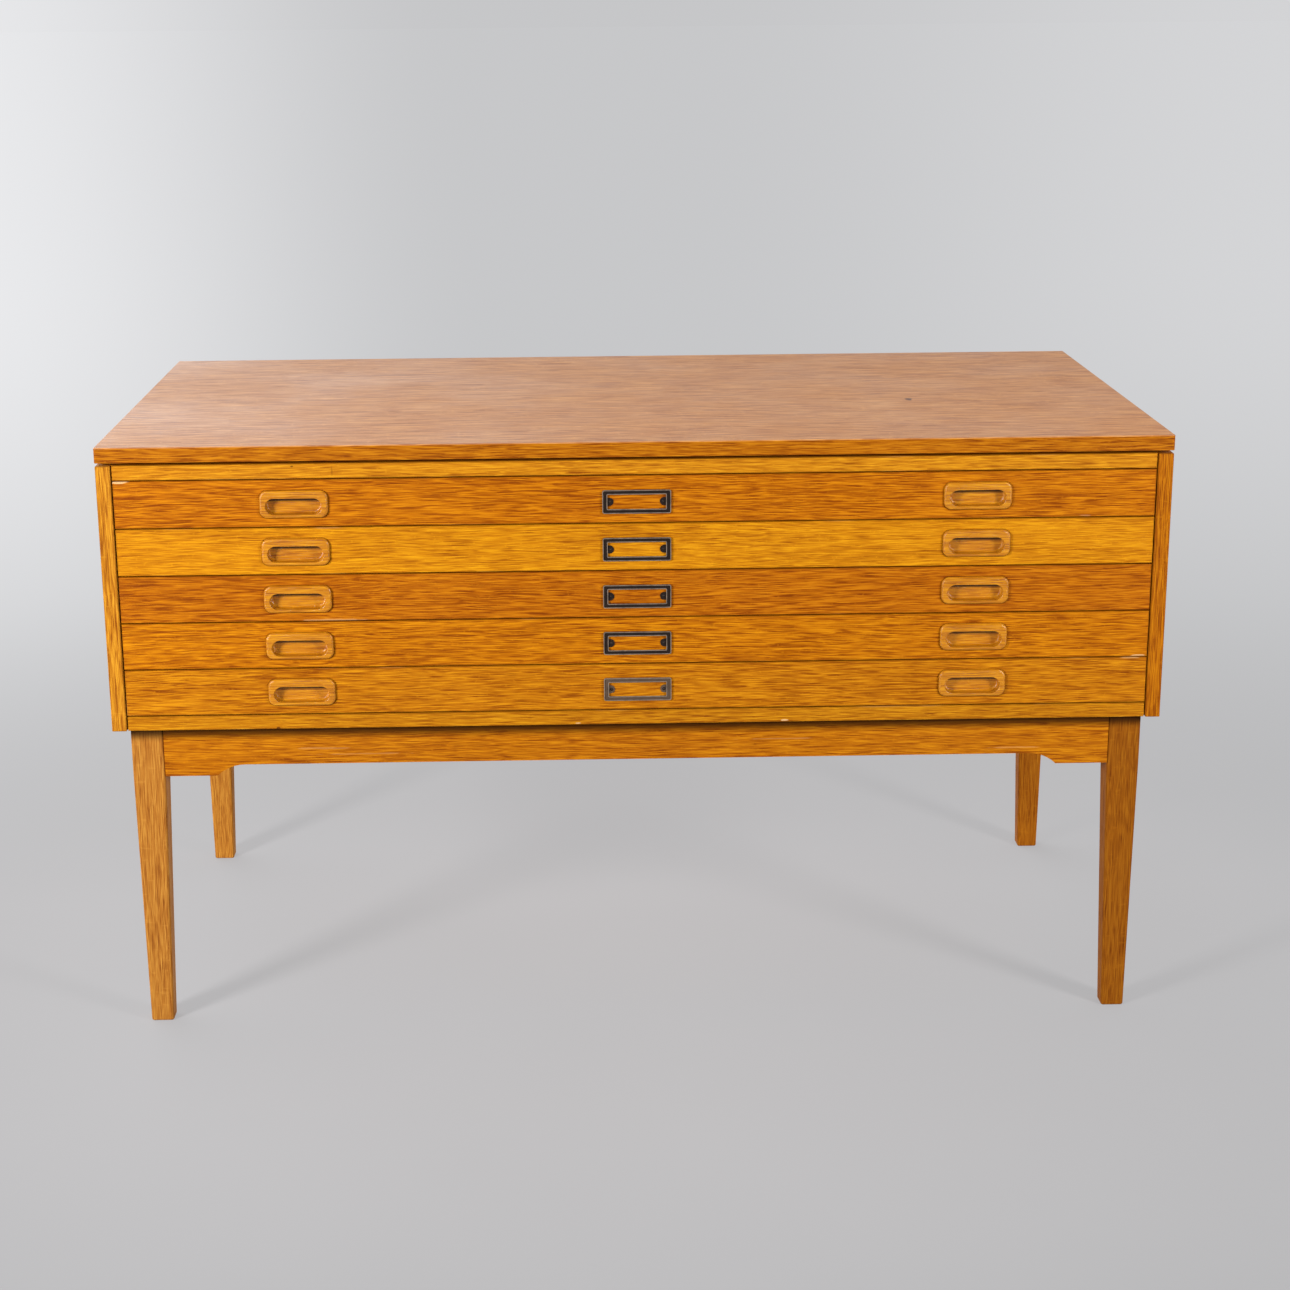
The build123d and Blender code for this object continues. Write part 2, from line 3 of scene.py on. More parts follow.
import bpy
from mathutils import Matrix, Vector


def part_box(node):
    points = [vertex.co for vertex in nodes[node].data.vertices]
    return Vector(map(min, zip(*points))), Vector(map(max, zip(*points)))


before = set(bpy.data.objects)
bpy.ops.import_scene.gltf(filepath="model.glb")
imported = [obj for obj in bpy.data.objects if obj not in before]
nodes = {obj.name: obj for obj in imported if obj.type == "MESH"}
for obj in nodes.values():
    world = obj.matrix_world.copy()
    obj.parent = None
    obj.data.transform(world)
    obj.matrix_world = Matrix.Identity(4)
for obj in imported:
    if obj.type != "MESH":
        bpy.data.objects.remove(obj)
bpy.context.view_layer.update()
drawer_numbers = range(1, 6)

# ---------------------------------------------------------------- material helpers


class Paint:
    """One procedural material, built with short calls. Colours are linear RGB."""

    def __init__(self, name):
        self.material = bpy.data.materials.new(name)
        self.material.use_nodes = True
        self.tree = self.material.node_tree
        self.shader = self.tree.nodes["Principled BSDF"]

    def feed(self, socket, value):
        if isinstance(value, bpy.types.NodeSocket):
            self.tree.links.new(value, socket)
        else:
            socket.default_value = value

    def add(self, kind, inputs, **settings):
        made = self.tree.nodes.new("ShaderNode" + kind)
        for key, value in settings.items():
            setattr(made, key, value)
        for key, value in inputs.items():
            self.feed(made.inputs[key], value)
        return made

    def sum(self, operation, first, second=0.0, clamp=False):
        return self.add("Math", {0: first, 1: second}, operation=operation, use_clamp=clamp).outputs[0]

    def vector(self, operation, first, second):
        return self.add("VectorMath", {0: first, 1: second}, operation=operation).outputs[0]

    def spread(self, value, low, high, start=0.0, end=1.0):
        """Value mapped smoothly from low..high to start..end."""
        inputs = {"Value": value, "From Min": low, "From Max": high, "To Min": start, "To Max": end}
        return self.add("MapRange", inputs, interpolation_type="SMOOTHSTEP").outputs[0]

    def noise(self, place, scale, detail=2.0, rough=0.5, output="Fac"):
        stretched = self.vector("MULTIPLY", place, scale)
        inputs = {"Vector": stretched, "Scale": 1.0, "Detail": detail, "Roughness": rough}
        return self.add("TexNoise", inputs).outputs[output]

    def mix(self, share, first, second):
        made = self.tree.nodes.new("ShaderNodeMix")
        made.data_type = "RGBA"
        self.feed(made.inputs["Factor"], share)
        self.feed(made.inputs["A"], first if isinstance(first, bpy.types.NodeSocket) else (*first, 1.0))
        self.feed(made.inputs["B"], second if isinstance(second, bpy.types.NodeSocket) else (*second, 1.0))
        return made.outputs["Result"]

    def ramp(self, value, *stops):
        made = self.add("ValToRGB", {"Fac": value})
        elements = made.color_ramp.elements
        while len(elements) < len(stops):
            elements.new(0.5)
        for element, (place, colour) in zip(elements, stops):
            element.position = place
            element.color = (*colour, 1.0)
        return made.outputs["Color"]

    def bump(self, height, strength, distance):
        made = self.add("Bump", {"Height": height, "Strength": strength, "Distance": distance})
        self.feed(self.shader.inputs["Normal"], made.outputs[0])

    def finish(self, colour, rough, **values):
        self.feed(self.shader.inputs["Base Color"], colour)
        self.feed(self.shader.inputs["Roughness"], rough)
        for name, value in values.items():
            self.feed(self.shader.inputs[name.replace("_", " ").title().replace("Ior", "IOR")], value)
        return self.material


GRAIN_ORDER = {"x": "XYZ", "y": "YZX", "z": "ZXY"}


def grain_place(paint, grain, seed):
    """Object coordinates turned so that local X runs along the grain, shifted by the board's own seed."""
    place = paint.add("TexCoord", {}).outputs["Object"]
    split = paint.add("SeparateXYZ", {0: place}).outputs
    turned = paint.add("CombineXYZ", {i: split[axis] for i, axis in enumerate(GRAIN_ORDER[grain])}).outputs[0]
    return place, paint.vector("ADD", turned, (seed * 1.37, seed * 0.71, seed * 2.13))


def edge_share(paint, place, low, high, axes, reach):
    """1 on a board's outline and 0 further in than reach, over the given axes."""
    split = paint.add("SeparateXYZ", {0: place}).outputs
    nearest = None
    for axis in axes:
        index = "XYZ".index(axis)
        middle = (low[index] + high[index]) / 2
        half = (high[index] - low[index]) / 2
        away = paint.sum("ABSOLUTE", paint.sum("SUBTRACT", split[axis], middle))
        inside = paint.sum("SUBTRACT", half, away)
        nearest = inside if nearest is None else paint.sum("MINIMUM", nearest, inside)
    return paint.spread(nearest, 0.0, reach, 1.0, 0.0)


DARK_GRAIN = (0.50, 0.36, 0.36)     # red, green and blue of the darkest grain, as shares of a board's middle tone
LIGHT_GRAIN = (1.40, 1.75, 2.20)
PAINTED_SHADE_TONE = 0.10                   # brightness of the painted shade, as a share of the middle tone
HANDLED_WIDTH = 0.0045              # how far handling has darkened a front from its outline
RUBBED_WIDTH = 0.0012               # how far the lacquer is rubbed off
WORN_DEPTH = (0.001, 0.005)         # wear fades out over this depth behind the front face


def oak(name, grain, middle, seed, figure=1.0, streaks=1.0, rough=0.46, gloss=0.05, worn=None, marks=(), grime=None,
        reach=1.7):
    """Lacquered oak: growth rings, fibres, dark pore streaks, worn edges where a box and axes are given, and marks.

    Each mark is a place, its half sizes, a colour and a strength. Painted shade is a function that gives the share
    of painted shadow at a place. Reach stretches the streaks along the grain.
    """
    dark = [channel * share for channel, share in zip(middle, DARK_GRAIN)]
    light = [channel * share for channel, share in zip(middle, LIGHT_GRAIN)]
    paint = Paint(name)
    place, along = grain_place(paint, grain, seed)
    drift = paint.noise(along, (1.3, 5.0, 5.0), 2.0, output="Color")
    drift = paint.vector("MULTIPLY", paint.vector("SUBTRACT", drift, (0.5,) * 3), (0.0, 0.022, 0.022))
    ripple = paint.noise(along, (19.0, 60.0, 60.0), 2.0, output="Color")
    ripple = paint.vector("MULTIPLY", paint.vector("SUBTRACT", ripple, (0.5,) * 3), (0.0, 0.0030, 0.0030))
    wavy = paint.vector("ADD", along, paint.vector("ADD", drift, ripple))

    swell = paint.noise(wavy, (0.55, 7.0, 7.0), 1.0)
    rings = paint.sum("SINE", paint.sum("MULTIPLY", swell, 150.0))
    bands = paint.noise(wavy, (1.1, 75.0, 75.0), 2.0, 0.6)
    ripples = paint.noise(wavy, (52.0 / reach, 900.0, 900.0), 1.0, 0.5)
    fibres = paint.noise(wavy, (60.0 / reach, 900.0, 900.0), 2.0, 0.6)
    lines = paint.spread(paint.noise(wavy, (36.0 / reach, 860.0, 860.0), 1.0, 0.5), 0.54, 0.64)
    pores = paint.spread(paint.noise(wavy, (75.0, 2100.0, 2100.0), 1.0), 0.56, 0.70)

    tone = paint.sum("MULTIPLY_ADD", rings, 0.045 * figure)
    tone.node.inputs[2].default_value = 0.56
    for layer, weight in ((bands, 0.25 * figure), (ripples, 1.80 * streaks), (fibres, 0.55)):
        centred = paint.sum("SUBTRACT", layer, 0.5)
        tone = paint.sum("ADD", tone, paint.sum("MULTIPLY", centred, weight))
    clusters = paint.spread(paint.noise(wavy, (2.2, 30.0, 30.0), 2.0), 0.35, 0.65, 0.5, 1.0)
    tone = paint.sum("SUBTRACT", tone, paint.sum("MULTIPLY", paint.sum("MULTIPLY", lines, clusters), 0.46 * streaks))
    tone = paint.sum("SUBTRACT", tone, paint.sum("MULTIPLY", pores, 0.10 * streaks), clamp=True)
    colour = paint.ramp(tone, (0.08, dark), (0.5, middle), (0.88, light))

    flecks = paint.spread(paint.noise(wavy, (210.0, 70.0, 330.0), 1.0), 0.63, 0.75, 0.0, 0.22)
    colour = paint.mix(flecks, colour, [channel * 1.1 for channel in light])
    if worn is not None:
        low, high, axes = worn
        depth = paint.add("SeparateXYZ", {0: place}).outputs["Y"]
        in_front = paint.spread(depth, low[1] + WORN_DEPTH[0], low[1] + WORN_DEPTH[1], 1.0, 0.0)
        ragged = paint.noise(along, (60.0, 130.0, 130.0), 3.0)
        near = paint.sum("MULTIPLY", edge_share(paint, place, low, high, axes, HANDLED_WIDTH), in_front)
        handled = paint.spread(paint.sum("MULTIPLY", near, ragged), 0.30, 0.52, 0.0, 0.5)
        colour = paint.mix(handled, colour, [channel * 0.62 for channel in middle])
        bare = paint.spread(paint.noise(along, (9.0, 20.0, 20.0), 3.0), 0.60, 0.70)
        rubbed = paint.sum("MULTIPLY", edge_share(paint, place, low, high, axes, RUBBED_WIDTH), bare)
        rubbed = paint.sum("MULTIPLY", rubbed, in_front)
        pale = (middle[0] * 1.25 + 0.06, middle[1] * 1.5 + 0.05, middle[2] * 2.0 + 0.05)
        colour = paint.mix(paint.sum("MULTIPLY", rubbed, 0.6), colour, pale)
    for centre, half_size, tint, strength in marks:
        away = paint.vector("DIVIDE", paint.vector("SUBTRACT", place, centre), half_size)
        distance = paint.add("VectorMath", {0: away}, operation="LENGTH").outputs["Value"]
        broken = paint.noise(along, (70.0, 300.0, 300.0), 3.0)
        inside = paint.spread(paint.sum("ADD", distance, paint.sum("MULTIPLY", broken, 1.3)), 1.2, 1.5, strength, 0.0)
        colour = paint.mix(inside, colour, tint)
    # painted shade: the colour darkens towards a dark copy of the middle tone where shade falls
    if grime is not None:
        colour = paint.mix(grime(paint, place), colour, [channel * PAINTED_SHADE_TONE for channel in middle])
    relief = paint.sum("ADD", paint.sum("MULTIPLY", lines, -0.5), paint.sum("MULTIPLY", pores, -0.5))
    relief = paint.sum("ADD", relief, paint.sum("MULTIPLY", fibres, 0.35))
    paint.bump(relief, 0.35, 0.0004)
    haze = paint.noise(place, (5.0, 5.0, 5.0), 3.0)
    satin = paint.spread(haze, 0.3, 0.7, rough - 0.05, rough + 0.06)
    return paint.finish(colour, paint.sum("ADD", satin, paint.sum("MULTIPLY", lines, 0.12)), specular_ior_level=gloss)


def plain_wood(name, grain, middle, light, seed, rough=0.62):
    """Unlacquered beech, pine or birch: soft fibres and a faint figure."""
    paint = Paint(name)
    place, along = grain_place(paint, grain, seed)
    drift = paint.noise(along, (1.5, 6.0, 6.0), 2.0, output="Color")
    drift = paint.vector("MULTIPLY", paint.vector("SUBTRACT", drift, (0.5,) * 3), (0.0, 0.014, 0.014))
    wavy = paint.vector("ADD", along, drift)
    rings = paint.sum("SINE", paint.sum("MULTIPLY", paint.noise(wavy, (0.5, 8.0, 8.0), 1.0), 110.0))
    fibres = paint.noise(wavy, (8.0, 500.0, 500.0), 3.0, 0.6)
    flecks = paint.spread(paint.noise(wavy, (170.0, 900.0, 900.0), 1.0), 0.6, 0.72, 0.0, 0.3)
    tone = paint.sum("ADD", paint.sum("MULTIPLY", rings, 0.16), fibres, clamp=True)
    colour = paint.ramp(tone, (0.2, middle), (0.8, light))
    colour = paint.mix(flecks, colour, [channel * 0.6 for channel in middle])
    paint.bump(fibres, 0.2, 0.0003)
    return paint.finish(colour, paint.spread(fibres, 0.3, 0.7, rough - 0.06, rough + 0.06), specular_ior_level=0.35)


# ---------------------------------------------------------------- oak, the middle tone of each kind of board
TONES = {
    "rail": (0.470, 0.168, 0.0050),
    "bottom_rail": (0.400, 0.136, 0.0030),
    "front_1": (0.405, 0.112, 0.0016),
    "front_2": (0.480, 0.168, 0.0028),
    "front_3": (0.370, 0.098, 0.0018),
    "front_4": (0.417, 0.122, 0.0016),
    "front_5": (0.408, 0.127, 0.0024),
    "edge": (0.352, 0.100, 0.0024),
    "top": (0.515, 0.198, 0.0480),
    "back": (0.430, 0.178, 0.0360),
    "side_left": (0.425, 0.152, 0.0085),
    "side_right": (0.365, 0.104, 0.0018),
    "leg_left": (0.366, 0.135, 0.0180),
    "leg_right": (0.235, 0.067, 0.0028),
    # the back legs are lighter than the front legs to make up for the shade under the case: painted light
    "back_leg_left": (0.460, 0.168, 0.0200),
    "back_leg_right": (0.345, 0.098, 0.0040),
    "apron": (0.385, 0.112, 0.0020),
    "pull": (0.455, 0.158, 0.0045),
}
PALE_CHIP = (0.74, 0.47, 0.22)
SCRATCH = (0.56, 0.27, 0.08)
# colour of real bruises, also the painted shade of an uncut hole
BRUISE_AND_HOLE_SHADE = (0.10, 0.025, 0.002)
MARK_DEPTH = 0.01           # how far a mark's colour goes into the wood


def dress(node, material):
    """Give a CAD node its material in every slot."""
    node_object = nodes[node]
    node_object.data.materials.clear()
    node_object.data.materials.append(material)


def board(node, grain, tone, seed, axes="", **values):
    """Dress a node in its own oak, worn along the outline that the given axes span."""
    low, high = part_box(node)
    worn = (low, high, axes) if axes else None
    dress(node, oak(f"oak_{node}", grain, TONES[tone], seed, worn=worn, **values))


def front_mark(node, x, height, half_length, half_height, tint, strength):
    """A mark on a node's front face, at a distance from its middle and a height above its lower edge."""
    low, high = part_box(node)
    return Vector((x, low.y, low.z + height)), (half_length, MARK_DEPTH, half_height), tint, strength


PULL_PLACE = 0.414                  # from the cabinet's middle to the middle of either pull
PULL_HALF = (0.0413, 0.0169)        # half its length and height
PULL_CORNER = 0.0094
PULL_DROP = 0.0008                  # below the middle of its drawer front
PULL_LINE = 0.0016                  # width of the painted shadow round it
SCOOP_LIP = 0.0072                  # from a pull's middle up to the scoop's lip
SCOOP_SHADE = (0.0068, 0.0032)      # the scoop's painted shadow fades in between these distances below the lip
SCOOP_DEPTH = (0.003, 0.008)        # and between these depths behind the rim
STAND_BAND = (0.0190, 0.0055)       # the painted shadow under the case fades in between these distances below the stand's upper edge


def shadow_round_the_pulls(level):
    """Share of painted shadow in a thin line round both pulls, heaviest below them, with their middle at the given
    level.
    """

    def share(paint, place):
        split = paint.add("SeparateXYZ", {0: place}).outputs
        away_x = paint.sum("ABSOLUTE", paint.sum("SUBTRACT", paint.sum("ABSOLUTE", split["X"]), PULL_PLACE))
        away_z = paint.sum("ABSOLUTE", paint.sum("SUBTRACT", split["Z"], level))
        past_x = paint.sum("MAXIMUM", paint.sum("SUBTRACT", away_x, PULL_HALF[0] - PULL_CORNER))
        past_z = paint.sum("MAXIMUM", paint.sum("SUBTRACT", away_z, PULL_HALF[1] - PULL_CORNER))
        squares = paint.sum("ADD", paint.sum("MULTIPLY", past_x, past_x), paint.sum("MULTIPLY", past_z, past_z))
        outside = paint.sum("SUBTRACT", paint.sum("SQRT", squares), PULL_CORNER)
        heavier_below = paint.spread(split["Z"], level - PULL_HALF[1], level, 1.0, 0.35)
        return paint.sum("MULTIPLY", paint.spread(outside, 0.0, PULL_LINE, 1.0, 0.0), heavier_below)

    return share


def shadow_under_the_lip(face, level):
    """Share of painted shadow, cast by the lip, in the upper corner of a pull's scoop, whose rim lies at depth face.
    """

    def share(paint, place):
        split = paint.add("SeparateXYZ", {0: place}).outputs
        lip = level + SCOOP_LIP
        deep = paint.spread(split["Y"], face + SCOOP_DEPTH[0], face + SCOOP_DEPTH[1])
        high = paint.spread(split["Z"], lip - SCOOP_SHADE[0], lip - SCOOP_SHADE[1], 0.0, 0.97)
        return paint.sum("MULTIPLY", deep, high)

    return share


def shadow_under_the_case(level):
    """Share of painted shadow on the stand's upper edge, under the case that rests at the given level."""

    def share(paint, place):
        height = paint.add("SeparateXYZ", {0: place}).outputs["Z"]
        return paint.spread(height, level - STAND_BAND[0], level - STAND_BAND[1], 0.0, 0.93)

    return share


# Each drawer front's marks: place, height, half length, half height, colour and strength.
chips = {
    1: [(-0.624, 0.0575, 0.017, 0.0024, PALE_CHIP, 0.8), (0.545, 0.0015, 0.012, 0.0014, PALE_CHIP, 0.2)],
    2: [(-0.375, 0.0572, 0.026, 0.0009, PALE_CHIP, 0.16)],
    3: [(-0.370, 0.0008, 0.050, 0.0018, PALE_CHIP, 0.28)],
    4: [(0.618, 0.0008, 0.012, 0.0018, PALE_CHIP, 0.6)],
    5: [(0.608, 0.0574, 0.016, 0.0012, PALE_CHIP, 0.35)],
}
rail_marks = [
    front_mark("case_top_panel", -0.4145, 0.015, 0.0022, 0.0012, BRUISE_AND_HOLE_SHADE, 0.8),
    front_mark("case_top_panel", -0.3665, 0.009, 0.0011, 0.0085, BRUISE_AND_HOLE_SHADE, 0.35),
]
lower_marks = [
    front_mark("case_bottom_panel", -0.445, 0.001, 0.0035, 0.0028, BRUISE_AND_HOLE_SHADE, 0.9),
    front_mark("case_bottom_panel", -0.074, 0.002, 0.0050, 0.0014, PALE_CHIP, 0.7),
    front_mark("case_bottom_panel", 0.182, 0.002, 0.0060, 0.0014, PALE_CHIP, 0.75),
]
scratches = [
    front_mark("apron_front", -0.395, 0.034, 0.050, 0.0018, SCRATCH, 0.34),
    front_mark("apron_front", -0.340, 0.026, 0.080, 0.0014, SCRATCH, 0.30),
    front_mark("apron_front", 0.470, 0.022, 0.040, 0.0014, SCRATCH, 0.4),
    front_mark("apron_front", 0.180, 0.038, 0.060, 0.0011, SCRATCH, 0.35),
]

TOP_HOLE = (0.366, -0.060)          # a small hole in the right half of the top, not cut: its shade is painted as a dark spot
HOLE_HALF = (0.0060, 0.0105, MARK_DEPTH)
top_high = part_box("top_panel")[1].z
painted_hole_shade = [(Vector((*TOP_HOLE, top_high)), HOLE_HALF, BRUISE_AND_HOLE_SHADE, 1.0)]
board("top_panel", "x", "top", 3.1, figure=0.35, rough=0.40, gloss=0.3, reach=3.2, marks=painted_hole_shade)
board("top_lippings", "x", "edge", 5.3, rough=0.44)
board("case_top_panel", "x", "rail", 7.9, "XZ", figure=0.6, streaks=0.7, marks=rail_marks)
board("case_bottom_panel", "x", "bottom_rail", 9.4, "XZ", figure=0.7, streaks=0.7, marks=lower_marks)
board("side_panel_left", "z", "side_left", 11.2, "XZ", reach=1.8)
board("side_panel_right", "z", "side_right", 13.7, "XZ", reach=1.8)
# painted shadow on the stand's upper edge, under the case
stand_shadow = shadow_under_the_case(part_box("apron_front")[1].z)
board("apron_front", "x", "apron", 15.1, streaks=0.8, marks=scratches, grime=stand_shadow)
board("apron_back", "x", "apron", 17.6)
for number, side in enumerate(("left", "right")):
    board(f"apron_{side}", "y", "apron", 19.3 + number)
    for step, end in enumerate(("front", "back")):
        seed = 23.1 + number * 3.3 + step * 1.7
        # the back legs' lighter tones are painted light against the shade under the case
        tone = f"leg_{side}" if end == "front" else f"back_leg_{side}"
        board(f"leg_{end}_{side}", "z", tone, seed, figure=0.5, streaks=0.65, rough=0.5, grime=stand_shadow)
for number in drawer_numbers:
    front = f"drawer_{number}_front"
    marks = [front_mark(front, *mark) for mark in chips[number]]
    streaks = 0.65 if number == 2 else 1.0
    low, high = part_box(front)
    level = (low.z + high.z) / 2 - PULL_DROP
    # painted shadow in a thin line round the pulls
    pull_shadow = shadow_round_the_pulls(level)
    board(front, "x", f"front_{number}", 31.0 + number * 4.7, "XZ", streaks=streaks, marks=marks, grime=pull_shadow)
    pulls = f"drawer_{number}_pulls"
    # painted shadow under each scoop's lip
    pull_shadow = shadow_under_the_lip(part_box(pulls)[0].y, level)
    board(pulls, "x", "pull", 61.0 + number * 2.9, figure=0.7, streaks=0.6, rough=0.25, gloss=0.36, grime=pull_shadow)

BEECH = ((0.48, 0.27, 0.11), (0.66, 0.43, 0.21))
BIRCH = ((0.55, 0.36, 0.18), (0.74, 0.55, 0.33))
beech_lengthways = plain_wood("beech_lengthways", "y", *BEECH, 2.3)
beech_crossways = plain_wood("beech_crossways", "x", *BEECH, 4.1)
birch_base = plain_wood("birch_base", "x", *BIRCH, 6.7)
for number in drawer_numbers:
    dress(f"drawer_{number}_side_left", beech_lengthways)
    dress(f"drawer_{number}_side_right", beech_lengthways)
    dress(f"drawer_{number}_back", beech_crossways)
    dress(f"drawer_{number}_base", birch_base)
dress("drawer_runners", plain_wood("waxed_runner", "y", (0.40, 0.22, 0.09), (0.58, 0.36, 0.17), 8.8, rough=0.42))
# the spacers' dark tone is painted shade for the gap under the top
dress("top_spacers", plain_wood("spacer_oak_painted_shade", "x", (0.20, 0.09, 0.03), (0.34, 0.17, 0.06), 10.5))
dress("corner_blocks", plain_wood("pine_block", "x", (0.52, 0.34, 0.16), (0.70, 0.50, 0.27), 12.9))
board("back_panel", "x", "back", 71.0, figure=1.0, streaks=0.7, rough=0.6, gloss=0.2, reach=2.5)


def zinc():
    """Dull zinc plating of the screws."""
    paint = Paint("zinc_screw")
    place = paint.add("TexCoord", {}).outputs["Object"]
    cloudy = paint.noise(place, (400.0,) * 3, 3.0)
    colour = paint.ramp(cloudy, (0.35, (0.34, 0.31, 0.26)), (0.65, (0.62, 0.59, 0.52)))
    paint.bump(paint.noise(place, (3000.0,) * 3, 1.0), 0.1, 0.0001)
    return paint.finish(colour, paint.spread(cloudy, 0.3, 0.7, 0.28, 0.5), metallic=1.0)


screw_metal = zinc()
dress("runner_screws", screw_metal)
dress("case_screws", screw_metal)


RIM_HEIGHT = 0.0008                 # the label holder's raised rim


def patinated_steel(name, face, dark, bright, wear):
    """Blackened steel; its raised lines, nearest the viewer at depth face, are partly worn metal, partly painted
    highlight.
    """
    paint = Paint(name)
    place = paint.add("TexCoord", {}).outputs["Object"]
    depth = paint.add("SeparateXYZ", {0: place}).outputs["Y"]
    raised = paint.spread(depth, face + RIM_HEIGHT * 0.3, face + RIM_HEIGHT * 0.9, 1.0, 0.0)
    patchy = paint.noise(place, (90.0, 90.0, 90.0), 4.0, 0.6)
    fine = paint.noise(place, (900.0, 900.0, 900.0), 2.0)
    # pale raised lines: partly real wear, partly painted highlight on the rims
    rubbed = paint.sum("MULTIPLY", raised, paint.spread(patchy, 0.30, 0.60, wear * 0.55, wear))
    cloudy = paint.mix(patchy, dark, [channel * 2.2 for channel in dark])
    colour = paint.mix(rubbed, cloudy, bright)
    paint.bump(paint.sum("ADD", patchy, fine), 0.12, 0.0002)
    roughness = paint.sum("SUBTRACT", paint.spread(fine, 0.3, 0.7, 0.40, 0.55), paint.sum("MULTIPLY", rubbed, 0.12))
    return paint.finish(colour, roughness, metallic=0.45, specular_ior_level=0.3)


BLACKENED = (0.012, 0.007, 0.005)
BLACKENED_WITH_PAINTED_SHEEN = (0.070, 0.045, 0.030)
WORN_RIM_AND_HIGHLIGHT = (0.33, 0.25, 0.19)
WORN_PIN = (0.16, 0.12, 0.09)
for number in drawer_numbers:
    holder = f"drawer_{number}_label_holder"
    pins = f"drawer_{number}_holder_pins"
    # the lowest holder's paler face is a painted reflection
    dark = BLACKENED_WITH_PAINTED_SHEEN if number == 5 else BLACKENED
    dress(holder, patinated_steel(f"steel_{holder}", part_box(holder)[0].y, dark, WORN_RIM_AND_HIGHLIGHT, 0.85))
    dress(pins, patinated_steel(f"steel_{pins}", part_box(pins)[0].y, BLACKENED, WORN_PIN, 0.5))

# ---------------------------------------------------------------- studio
FLOOR_REACH = 60.0                  # half the floor's width
PAPER = (0.168, 0.162, 0.164)
PAPER_MOTTLED = (0.180, 0.174, 0.176)
PAPER_GLOW = 0.37
STUDIO_WHITE = (0.975, 0.980, 1.0)
FRONT_GLOW = 0.36
BACK_GLOW = 0.58
LEFT_GLOW = 0.26
RIGHT_GLOW = 0.09
NEAR_PAPER = 0.0                    # the paper melts into the walls between these distances
FAR_PAPER = 2.3
STUDIO_DEPTH = 3.0
UPPER_FRONT_DROP = 0.20
UPPER_BACK_LIFT = 0.14
UPPER_LEFT_LIFT = 1.70
LIGHT_TARGET = (0.0, -0.2, 0.5)


def glow(paint, sideways, backwards):
    """Brightness of the studio in a direction: pale behind the cabinet, paler still to its left and right."""
    behind = paint.spread(backwards, -0.3, 0.7)
    left = paint.spread(sideways, -0.27, -0.04, LEFT_GLOW, 0.0)
    right = paint.spread(sideways, 0.04, 0.30, 0.0, RIGHT_GLOW)
    sides = paint.sum("ADD", paint.sum("ADD", left, right), BACK_GLOW - FRONT_GLOW)
    return paint.sum("ADD", paint.sum("MULTIPLY", sides, behind), FRONT_GLOW)


def floor():
    """A flat sheet of paper that melts into the studio's walls with distance."""
    mesh = bpy.data.meshes.new("studio_floor")
    corners = [(-1, -1), (1, -1), (1, 1), (-1, 1)]
    mesh.from_pydata([(x * FLOOR_REACH, y * FLOOR_REACH, 0.0) for x, y in corners], [], [(0, 1, 2, 3)])
    made = bpy.data.objects.new("studio_floor", mesh)
    bpy.context.scene.collection.objects.link(made)
    paint = Paint("studio_paper")
    place = paint.add("TexCoord", {}).outputs["Object"]
    mottled = paint.noise(place, (1.5, 1.5, 1.5), 4.0)
    near_colour = paint.ramp(mottled, (0.3, PAPER), (0.7, PAPER_MOTTLED))
    distance = paint.add("VectorMath", {0: place}, operation="LENGTH").outputs["Value"]
    away = paint.spread(distance, NEAR_PAPER, FAR_PAPER)
    split = paint.add("SeparateXYZ", {0: place}).outputs
    reach = paint.sum("ADD", distance, STUDIO_DEPTH)
    wall = glow(paint, paint.sum("DIVIDE", split["X"], reach), paint.sum("DIVIDE", split["Y"], reach))
    paint.feed(paint.shader.inputs["Emission Color"], (*STUDIO_WHITE, 1.0))
    beyond = paint.sum("MULTIPLY", away, paint.sum("SUBTRACT", wall, PAPER_GLOW))
    paint.feed(paint.shader.inputs["Emission Strength"], paint.sum("ADD", beyond, PAPER_GLOW))
    colour = paint.mix(away, near_colour, (0.01, 0.01, 0.01))
    made.data.materials.append(paint.finish(colour, 0.85, specular_ior_level=0.0))


def softbox(name, place, size, power):
    """A rectangular area light, turned towards the cabinet."""
    data = bpy.data.lights.new(name, "AREA")
    data.shape = "RECTANGLE"
    data.size, data.size_y = size
    data.energy = power
    made = bpy.data.objects.new(name, data)
    bpy.context.scene.collection.objects.link(made)
    made.location = place
    made.rotation_euler = (Vector(LIGHT_TARGET) - Vector(place)).to_track_quat("-Z", "Y").to_euler()


class Sky(Paint):
    """The world's own node tree, built with the same short calls."""

    def __init__(self, name):
        self.world = bpy.data.worlds.new(name)
        self.world.use_nodes = True
        self.tree = self.world.node_tree
        self.shader = self.tree.nodes["Background"]


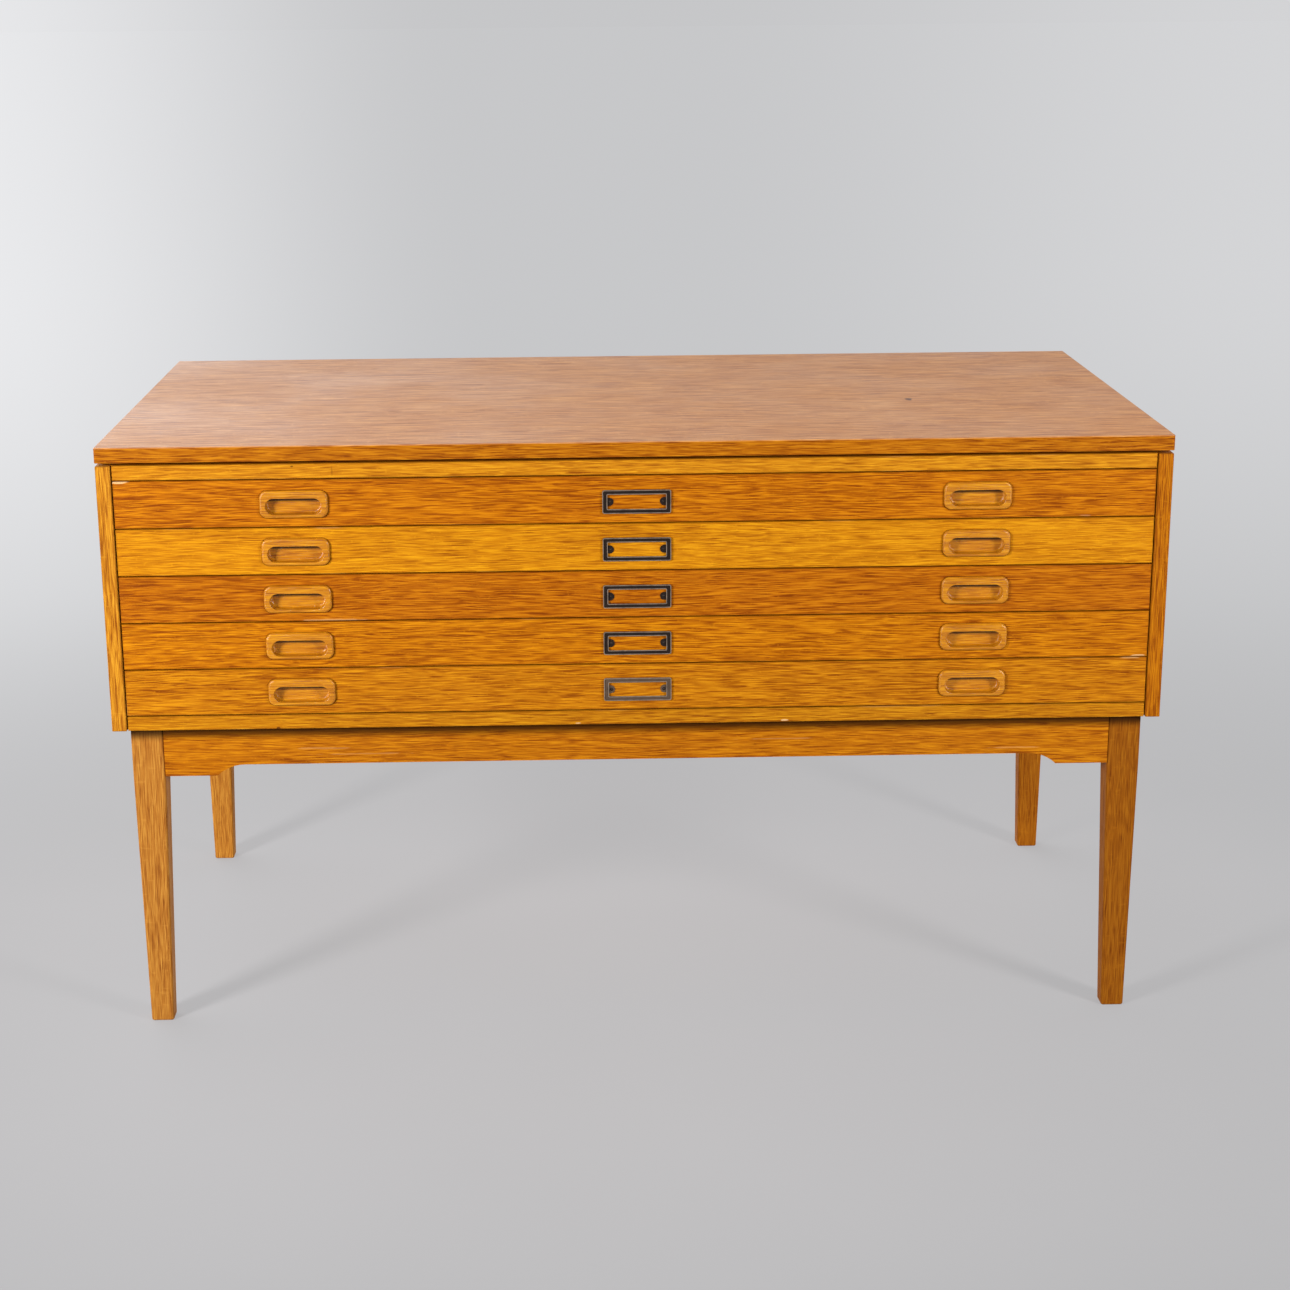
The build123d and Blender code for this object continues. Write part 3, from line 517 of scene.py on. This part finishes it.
def studio_walls():
    """The world: pale walls, with a brighter upper left behind the cabinet."""
    sky = Sky("studio_walls")
    split = sky.add("SeparateXYZ", {0: sky.add("TexCoord", {}).outputs["Generated"]}).outputs
    sky.feed(sky.shader.inputs["Color"], (*STUDIO_WHITE, 1.0))
    upper = sky.spread(split["Z"], 0.0, 0.2)
    left = sky.spread(split["X"], -0.24, 0.04, UPPER_LEFT_LIFT, 0.0)
    lift = sky.sum("ADD", left, UPPER_BACK_LIFT + UPPER_FRONT_DROP)
    change = sky.sum("SUBTRACT", sky.sum("MULTIPLY", lift, sky.spread(split["Y"], -0.3, 0.7)), UPPER_FRONT_DROP)
    level = glow(sky, split["X"], split["Y"])
    sky.feed(sky.shader.inputs["Strength"], sky.sum("ADD", level, sky.sum("MULTIPLY", upper, change)))
    bpy.context.scene.world = sky.world


floor()
studio_walls()
softbox("key_left", (-2.4, -2.4, 1.62), (0.6, 0.7), 102.0)
softbox("key_right", (2.5, -2.4, 1.62), (0.6, 0.7), 66.0)
softbox("edge_left", (-1.7, -1.4, 0.6), (0.4, 0.5), 11.0)
softbox("edge_right", (1.7, -1.4, 0.65), (0.4, 0.5), 7.5)

# ---------------------------------------------------------------- camera, at the photograph's viewpoint
SENSOR_WIDTH = 36.0
CAMERA_PLACE = (-0.0840, -3.0547, 1.2922)
CAMERA_YAW = 0.0177
CAMERA_PITCH = 0.2631
CAMERA_ROLL = -0.0088
CAMERA_LENS = 64.6
CAMERA_SHIFT = (0.0286, -0.0350)

camera_data = bpy.data.cameras.new("camera")
camera_data.sensor_width = SENSOR_WIDTH
camera_data.lens = CAMERA_LENS
camera_data.shift_x, camera_data.shift_y = CAMERA_SHIFT
camera = bpy.data.objects.new("camera", camera_data)
bpy.context.scene.collection.objects.link(camera)
yaw = Matrix.Rotation(-CAMERA_YAW, 4, "Z")
tilt = Matrix.Rotation(math.pi / 2 - CAMERA_PITCH, 4, "X")
roll = Matrix.Rotation(CAMERA_ROLL, 4, "Z")
camera.matrix_world = Matrix.Translation(CAMERA_PLACE) @ yaw @ tilt @ roll
bpy.context.scene.camera = camera
bpy.context.scene.view_settings.view_transform = "Standard"
